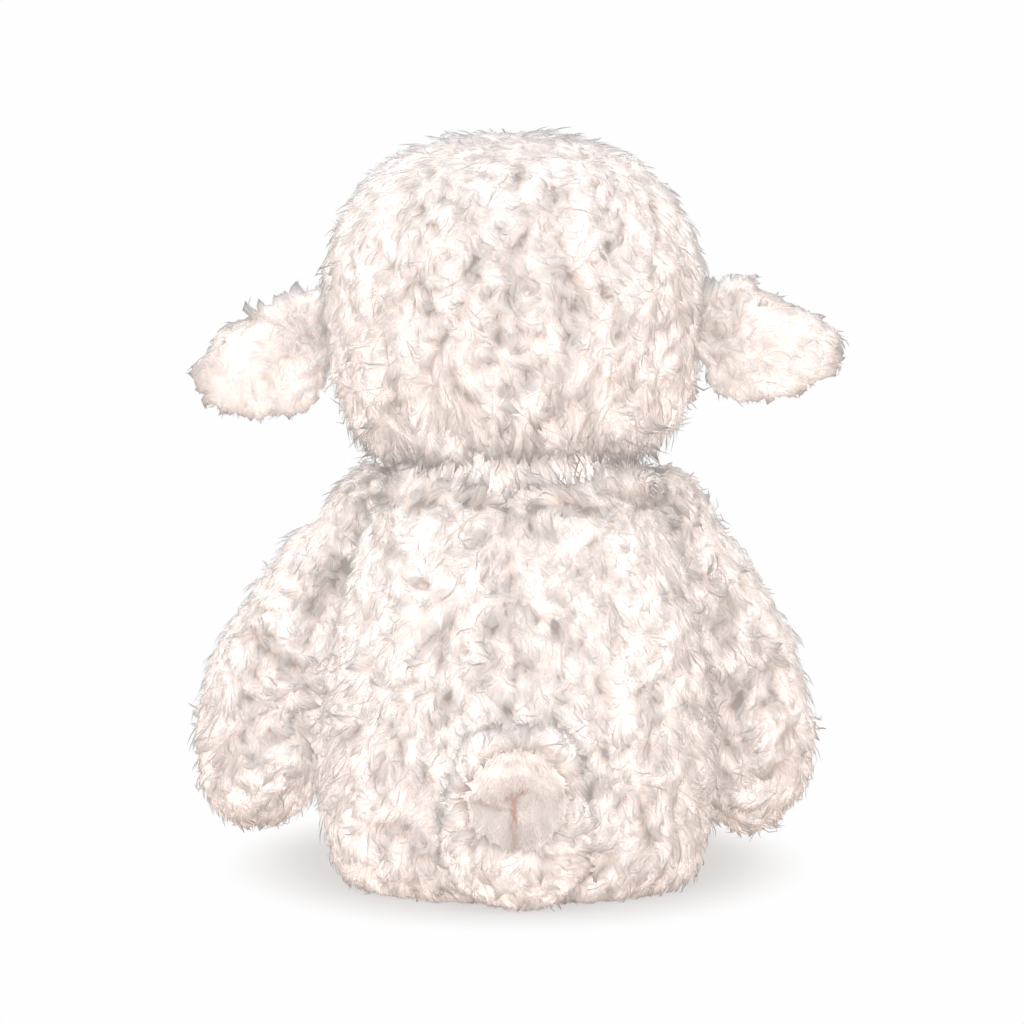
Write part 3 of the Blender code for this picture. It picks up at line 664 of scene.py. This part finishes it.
def by_height(low, high, gain):
    """Locks that grow longer from one height to another, to close a seam."""
    return lambda p: 1 + (gain - 1) * np.clip((p[:, 2] - low) / (high - low), 0, 1)


def to_neck(p, n):
    """Brushed down on the back, but up and in towards the neck round the shoulders."""
    high = np.clip((p[:, 2:] - 146 * MM) / (14 * MM), 0, 1)
    inward = unit(-p * (1.0, 1.0, 0.0)) + (0.0, 0.0, 0.6)
    return (1 - high) * (0.0, 0.0, -1.0) + high * inward + 0.02 * n


dress("body", ["body_back_panel", "body_front_panel"], "body", to_neck, reach=170 * MM, fill=0.85,
      longer=by_height(146 * MM, 165 * MM, 1.5))
dress("head", ["head_cover"], "head", reach=170 * MM, fill=0.9,
      longer=by_height(205 * MM, 182 * MM, 1.7), hangs=1.2)
for side, way in SIDES:
    dress("arm_" + way, ["arm_%s_cover" % way], "arm_" + way, reach=45 * MM, fill=0.6,
          longer=by_height(140 * MM, 160 * MM, 0.5))
    dress("leg_" + way, ["leg_%s_cover" % way], "leg_" + way, forward, reach=52 * MM, fill=0.7)
    dress("ear_" + way, ["ear_%s_outer" % way], "ear_" + way, to_tip(side), reach=6 * MM,
          fill=0.3, voxel=2.4 * MM, inset=0.3 * MM, material=thin, warp=leaf, long=9 * MM)

# %% [markdown]
# The neck is a short plug of firm stuffing. Long curls stand out from it all round and close the
# crease between the head and the body, so that no bare ring shows when the head turns.

# %% Neck curls
def outward(p, n):
    """Brushed out from the neck and a little down."""
    return n * (1.0, 1.0, 0.0) + (0.0, 0.0, -0.35)


dress("neck", ["neck_stuffing"], "neck_plug", outward, reach=80 * MM, fill=0.9, long=17 * MM,
      voxel=4.0 * MM, inset=0.3 * MM, material=glow_lifted_curls, wild=0.5)

# %% [markdown]
# A little fleece also stands in the seam round each arm, between the two covers. It fills the
# notch over the shoulder, and it turns with the arm's ring.

# %% Shoulder curls
def off_shoulder(side):
    """Brushed out along the arm and down."""
    return lambda p, n: np.tile((0.5 * side, 0.15, -0.5), (len(p), 1)) + n


for side, way in SIDES:
    dress("shoulder_" + way, ["arm_%s_seam" % way], "arm_%s_ring" % way, off_shoulder(side),
          reach=60 * MM, fill=0.7, long=12 * MM, voxel=3.0 * MM, inset=0.3 * MM,
          material=glow_lifted_curls)

# %% [markdown]
# ## Short plush: tail, face, soles and ear linings
#
# The tail, the face, the soles and the ear linings are cut from a plush that is shorn to three
# millimetres, so it looks smooth with a soft edge. Each is the skin of its CAD solid at a finer
# grain, with fine wisps laid nearly flat on it. A crease value on the skin's points marks where
# a seam or a fold draws the pile in, and the material is painted a darker pink there, painted
# shade for the hollow.

# %% Lay a short pile
PLUSH_INSET = 0.2 * MM
HAIR_SUNK = 0.3 * MM
HAIR_ROOM = 2.5 * MM
HAIR_WIDTHS = (0.35, 0.6)
HAIR_DEPTHS = (0.15, 0.25)


def plush(node, body, brushed, voxel=1.7 * MM, pile=3.0 * MM, form=None, longer=None,
          warp=None, material=None):
    """A smooth-pile piece on the skin of one CAD solid, with its folds pressed in."""
    mesh, places, normals = skin(node, [node], voxel, PLUSH_INSET, warp)
    # These crease values are painted shade along the grooves.
    crease_shade_marks = mesh.attributes.new("crease_shade", "FLOAT", "POINT")
    if form:
        lift, crease_shade = form(places, normals)
        places = places + normals * lift[:, None]
        mesh.vertices.foreach_set("co", (places - normals * PLUSH_INSET).ravel())
        crease_shade_marks.data.foreach_set("value", crease_shade)
    mesh.shade_smooth()
    mesh.uv_layers.new(name="fibre")
    p, n, f, room = roots([node], places, normals, brushed, 10 * MM, voxel)
    count = len(p)
    spin = 0.5 * swirl(p, 12 * MM, 2.3) + rng.normal(0, 0.25, count)
    f = np.cos(spin)[:, None] * f + np.sin(spin)[:, None] * np.cross(n, f)
    press = np.clip(room / HAIR_ROOM, 0.1, 1.0)
    length = pile * rng.uniform(0.7, 1.2, count) * (longer(p) if longer else 1.0)
    hairs = laid(node, hair_shape, p - n * HAIR_SUNK, n, f, length,
                 rng.uniform(*HAIR_WIDTHS, count) * MM, rng.uniform(*HAIR_DEPTHS, count) * MM,
                 (rng.uniform(0.1, 0.35, count) * press, -0.1 * press), rng.normal(0, 0.4, count),
                 rng.uniform(0, 0.3, count), rng.uniform(0, 1, count), np.zeros(count))
    whole = joined(node + "_plush", [mesh, hairs])
    piece = new_piece(whole.name, whole, material or smooth, body)
    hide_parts(node)
    print(piece.name, "hairs:", count)


# %% [markdown]
# ## Tail
#
# The tail is a flat bag, turned over at its top and sewn down. A short middle seam draws it into
# two soft lobes, with a fold on each side where the turned top meets them. Each groove is a line
# of points in millimetres, measured from the picture, with its own width and depth.

# %% Form the tail
# Each groove: its points (x, z), its width, its depth and how much pink shade is painted in it.
TAIL_GROOVES = (
    (((1, 46), (1.5, 40), (1.1, 33)), 1.0, 3.2, 1.0),
    (((1.1, 34), (0.6, 28), (1.0, 24)), 1.4, 2.4, 0.45),
    (((17, 44), (12, 42), (6.5, 41)), 1.1, 2.6, 0.2),
    (((4, 45), (1, 46), (-3, 47.5)), 1.1, 2.6, 0.8),
    (((-6, 56.5), (-13, 53.5), (-16.5, 48), (-16.5, 44)), 1.2, 1.8, 0.1),
    (((13, 53.5), (12.5, 49)), 1.8, 1.2, 0.0),
)
# Each swell: its points (x, z), its width and its height.
TAIL_SWELLS = (
    (((12, 33), (11, 27)), 7.5, 2.4),
    (((-11, 35), (-11, 28)), 8.0, 2.4),
    (((14, 48), (8, 46)), 5.0, 1.2),
    (((9, 54.5), (-3, 53.5), (-10, 49)), 5.5, 1.5),
)
TAIL_BACK = 70 * MM
EDGE_ACROSS, EDGE_UP, EDGE_MIDDLE = 24 * MM, 22 * MM, 41 * MM


def line_distance(x, z, points):
    """The distance of each place to a broken line, in millimetres."""
    best = np.full(len(x), 1e9)
    for (ax, az), (bx, bz) in zip(points, points[1:]):
        along = np.array((bx - ax, bz - az), dtype=float)
        share = ((x - ax) * along[0] + (z - az) * along[1]) / along.dot(along)
        share = np.clip(share, 0, 1)
        gap = np.hypot(x - ax - share * along[0], z - az - share * along[1])
        best = np.minimum(best, gap)
    return best


def tail_form(places, normals):
    """How far each place of the tail's back swells or draws in, and how much crease shade is
    painted on it.
    """
    x, z = places[:, 0] / MM, places[:, 2] / MM
    back = np.clip(normals[:, 1], 0, 1) * (places[:, 1] > TAIL_BACK)
    lift = np.zeros(len(x))
    crease_shade = np.zeros(len(x))
    for points, width, height in TAIL_SWELLS:
        lift += height * np.exp(-(line_distance(x, z, points) / width) ** 2)
    # Each groove draws the skin in and paints its pink shade along it.
    for points, width, depth, shade_pink in TAIL_GROOVES:
        groove = np.exp(-(line_distance(x, z, points) / width) ** 2)
        lift -= depth * groove
        crease_shade = np.maximum(crease_shade, shade_pink * groove)
    return lift * back * MM, crease_shade * back


def tail_brushed(p, n):
    """Brushed down and away from the middle seam."""
    return np.stack((p[:, 0] * 25, np.zeros(len(p)), -np.ones(len(p))), axis=1)


def tail_edge(p):
    """The pile is longer towards the tail's edges, where it runs into the fleece."""
    across, up = p[:, 0] / EDGE_ACROSS, (p[:, 2] - EDGE_MIDDLE) / EDGE_UP
    out = np.hypot(across, up)
    return 1 + 2.2 * np.clip((out - 0.6) / 0.4, 0, 1)


plush("tail_cover", "tail", tail_brushed, voxel=1.0 * MM, pile=2.6 * MM, form=tail_form,
      longer=tail_edge, material=tail_smooth)

# %% [markdown]
# The tail's rim isn't shorn: curly locks stand all round it and hang from its lower edge, and
# they hide where the smooth pile ends.

# %% Tail rim
TAIL_MIDDLE = np.array((0.0, 0.0, 42.0)) * MM
RIM_SPACING = 2.9 * MM
RIM_LIFT = 1.2 * MM
SHORN_ACROSS, SHORN_UP, SHORN_DOWN = 19 * MM, 20 * MM, 16 * MM


def from_tail_middle(p, n):
    """Brushed away from the middle of the tail, a little down, and in towards the body."""
    return unit((p - TAIL_MIDDLE) * (1.0, 0.0, 1.0)) + (0.0, -0.35, -0.3)


_, places, normals = skin("tail_rim", ["tail_cover"], RIM_SPACING, 0.0)
places = places + normals * (tail_form(places, normals)[0][:, None] + RIM_LIFT)
grown = roots(["tail_cover"], places, normals, from_tail_middle, 10 * MM, RIM_SPACING)
above = grown[0][:, 2] - TAIL_MIDDLE[2]
out = np.hypot(grown[0][:, 0] / SHORN_ACROSS, above / np.where(above > 0, SHORN_UP, SHORN_DOWN))
rim = joined("tail_rim", fleece("tail_rim", [rows[out > 1.0] for rows in grown], long=11 * MM))
rim.uv_layers[0].name = "fibre"
rim_piece = new_piece("tail_rim", rim, curly, "tail")

# %% [markdown]
# The soles and the ear linings are plain pads of the same shorn plush. A lining follows the warp
# of its ear, so that the two stay back to back.

# %% Soles and ear linings
for side, way in SIDES:
    plush("foot_sole_" + way, "leg_" + way, down)
    plush("ear_%s_lining" % way, "ear_" + way, to_tip(side), warp=leaf)

# %% [markdown]
# ## Face
#
# The face is a rounded panel with its pile brushed away from the nose. The eyes are glossy
# plastic safety eyes: a turned dome on a shank. The nose is filled with satin stitch, side by
# side threads half a millimetre thick, and the mouth is one sewn thread.

# %% Face panel
NOSE = np.array((0.0, -108.0, 222.0)) * MM


def from_nose(p, n):
    """Brushed away from the nose."""
    return p - NOSE


plush("face_panel", "head", from_nose)

# %% Eyes
def moulded_material(name, base, roughness, grain_mm, bump_mm, coat=0.0):
    """Moulded plastic with a faint orange-peel surface."""
    material, tree, shader, output = new_material(name)
    coords = add_node(tree, "ShaderNodeTexCoord")
    grain = add_node(tree, "ShaderNodeTexNoise", Scale=1 / (grain_mm * MM), Detail=2.0,
                     links={"Vector": coords.outputs["Object"]})
    shade = add_node(tree, "ShaderNodeMix", data_type="RGBA", links={0: grain.outputs[0]})
    shade.inputs["A"].default_value = colour(base)
    shade.inputs["B"].default_value = [v * 0.8 for v in colour(base)[:3]] + [1.0]
    tree.links.new(shade.outputs["Result"], shader.inputs["Base Color"])
    bump = add_node(tree, "ShaderNodeBump", Strength=0.4, Distance=bump_mm * MM,
                    links={"Height": grain.outputs[0]})
    tree.links.new(bump.outputs[0], shader.inputs["Normal"])
    shader.inputs["Roughness"].default_value = roughness
    shader.inputs["IOR"].default_value = 1.49
    shader.inputs["Coat Weight"].default_value = coat
    shader.inputs["Coat Roughness"].default_value = 0.04
    return material


eye_gloss = moulded_material("black_acrylic_safety_eye", "#120C0A", 0.12, 4.0, 0.02, coat=0.6)
EYE_RADIUS = 6.0 * MM
EYE_TURNS = 32
SHANK_RADIUS = 1.8 * MM
DOME_HEIGHT = 5.1 * MM
EYE_DOME = ((1.0, 0.0), (0.99, 0.12), (0.93, 0.32), (0.82, 0.5), (0.66, 0.66), (0.46, 0.77),
            (0.24, 0.83), (0.0, 0.85))


def safety_eye(way):
    """The dome and shank of an eye, turned about the axis of its CAD node."""
    node = "eye_" + way
    bm = mesh_of([node])
    points = np.array([v.co[:] for v in bm.verts])
    bm.free()
    middle = points.mean(axis=0)
    axis = np.linalg.svd(points - middle)[2][0]
    axis = axis * -np.sign(axis[1])
    reach = (points - middle) @ axis
    apex = middle + axis * reach.max()
    length = reach.max() - reach.min()
    bm = bmesh.new()
    outline = [(0.0, -length + EYE_DOME[-1][1] * EYE_RADIUS),
               (SHANK_RADIUS, -length + DOME_HEIGHT), (SHANK_RADIUS, 0.0)]
    outline += [(wide * EYE_RADIUS, tall * EYE_RADIUS) for wide, tall in EYE_DOME]
    verts = [bm.verts.new((wide, 0, tall)) for wide, tall in outline]
    edges = [bm.edges.new(pair) for pair in zip(verts, verts[1:])]
    bmesh.ops.spin(bm, geom=verts + edges, axis=(0, 0, 1), cent=(0, 0, 0), steps=EYE_TURNS,
                   angle=2 * math.pi, use_merge=True)
    bmesh.ops.remove_doubles(bm, verts=bm.verts, dist=MERGE)
    bmesh.ops.recalc_face_normals(bm, faces=bm.faces)
    turn = Vector(axis).to_track_quat("Z", "Y").to_matrix().to_4x4()
    turn.translation = Vector(apex - axis * EYE_DOME[-1][1] * EYE_RADIUS)
    bm.transform(turn)
    mesh = bpy.data.meshes.new("safety_eye_" + way)
    bm.to_mesh(mesh)
    bm.free()
    mesh.shade_smooth()
    piece = new_piece(mesh.name, mesh, eye_gloss, "head")
    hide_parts(node)
    return apex


for _, way in SIDES:
    print("eye", way, "apex at", np.round(safety_eye(way) / MM, 1))

# %% Stitched nose and mouth
WAVE_PERIOD = 0.314  # metres from ridge to ridge of a wave texture at scale 1


def thread_material(name, light, shaded_valley, pitch_mm, slant):
    """Twisted embroidery thread: rounded ridges a thread apart, with painted shade where they
    meet.
    """
    material, tree, shader, output = new_material(name)
    coords = add_node(tree, "ShaderNodeTexCoord")
    lean = add_node(tree, "ShaderNodeMapping", links={"Vector": coords.outputs["Object"]})
    lean.inputs["Rotation"].default_value = (0.0, slant, 0.0)
    lay = add_node(tree, "ShaderNodeTexWave", bands_direction="X", Distortion=0.6, Detail=2.0,
                   Scale=WAVE_PERIOD / (pitch_mm * MM), links={"Vector": lean.outputs[0]})
    shade = add_node(tree, "ShaderNodeMix", data_type="RGBA", links={0: lay.outputs[1]})
    # The valleys between threads take the darker colour: painted shade.
    shade.inputs["A"].default_value = colour(shaded_valley)
    shade.inputs["B"].default_value = colour(light)
    tree.links.new(shade.outputs["Result"], shader.inputs["Base Color"])
    bump = add_node(tree, "ShaderNodeBump", Strength=0.8, Distance=0.25 * MM,
                    links={"Height": lay.outputs[1]})
    tree.links.new(bump.outputs[0], shader.inputs["Normal"])
    shader.inputs["Roughness"].default_value = 0.5
    shader.inputs["Sheen Weight"].default_value = 0.3
    return material


satin = thread_material("satin_stitched_rayon", "#8E5F52", "#55342B", 0.55, 0.0)
sewn = thread_material("twisted_cotton_thread", "#8E5F52", "#5C3A31", 0.8, 0.9)
mesh, places, normals = skin("nose", ["nose_stitching"], 0.7 * MM, 0.0)
mesh.shade_smooth()
nose = new_piece("stitched_nose", mesh, satin, "head")
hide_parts("nose_stitching")
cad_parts["mouth_stitching"].data.materials.clear()
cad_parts["mouth_stitching"].data.materials.append(sewn)
print("nose and mouth stitched")

# %% [markdown]
# ## What the covers hide
#
# Under the covers are the parts that a maker adds by hand: spun polyester filling, a calico bag
# of plastic pellets that weighs the seat down, woven tape sewn round each root, and the white
# washers that lock the eyes. They show only when a limb lifts away from its socket, or when the
# model is opened, so they stay as their CAD solids and take a finish of their own.

# %% Finishes of the hidden nodes
def woven_material(name, light, shaded_valley, pitch_mm, depth_mm):
    """Plain-woven cloth: two crossed sets of threads, raised by a bump, with painted shade
    between them.
    """
    material, tree, shader, output = new_material(name)
    coords = add_node(tree, "ShaderNodeTexCoord")
    weave = [add_node(tree, "ShaderNodeTexWave", bands_direction=way, Distortion=0.4,
                      Scale=WAVE_PERIOD / (pitch_mm * MM),
                      links={"Vector": coords.outputs["Object"]}) for way in ("X", "Z")]
    crossed = add_node(tree, "ShaderNodeMath", operation="MAXIMUM",
                       links={0: weave[0].outputs[1], 1: weave[1].outputs[1]})
    shade = add_node(tree, "ShaderNodeMix", data_type="RGBA", links={0: crossed.outputs[0]})
    # The gaps between the threads take the darker colour: painted shade.
    shade.inputs["A"].default_value = colour(shaded_valley)
    shade.inputs["B"].default_value = colour(light)
    tree.links.new(shade.outputs["Result"], shader.inputs["Base Color"])
    bump = add_node(tree, "ShaderNodeBump", Strength=0.6, Distance=depth_mm * MM,
                    links={"Height": crossed.outputs[0]})
    tree.links.new(bump.outputs[0], shader.inputs["Normal"])
    shader.inputs["Roughness"].default_value = 0.85
    return material


hidden_finishes = {
    "filling": pile_material("spun_polyester_filling", "#F4F4F2", "#E4E3DF", scatter=0.1,
                             fuzz_mm=0.8, fuzz_depth=0.8),
    "bag": woven_material("calico_cotton_bag", "#DDD4C1", "#C4B9A3", 0.5, 0.12),
    "seam": woven_material("woven_cotton_tape", "#E6DDD3", "#CFC4B8", 0.6, 0.1),
    "washer": moulded_material("white_acetal_washer", "#E2E2DF", 0.45, 3.0, 0.02),
}
for name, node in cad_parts.items():
    kind = [k for k in hidden_finishes if k in name]
    if kind:
        node.data.materials.clear()
        node.data.materials.append(hidden_finishes[kind[0]])
print("finished:", sorted({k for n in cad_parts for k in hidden_finishes if k in n}))

# %% Count the triangles
total = sum(len(p.data.loop_triangles) or sum(len(f.vertices) - 2 for f in p.data.polygons)
            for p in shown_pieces() if p.type == "MESH")
print("triangles in all:", total)
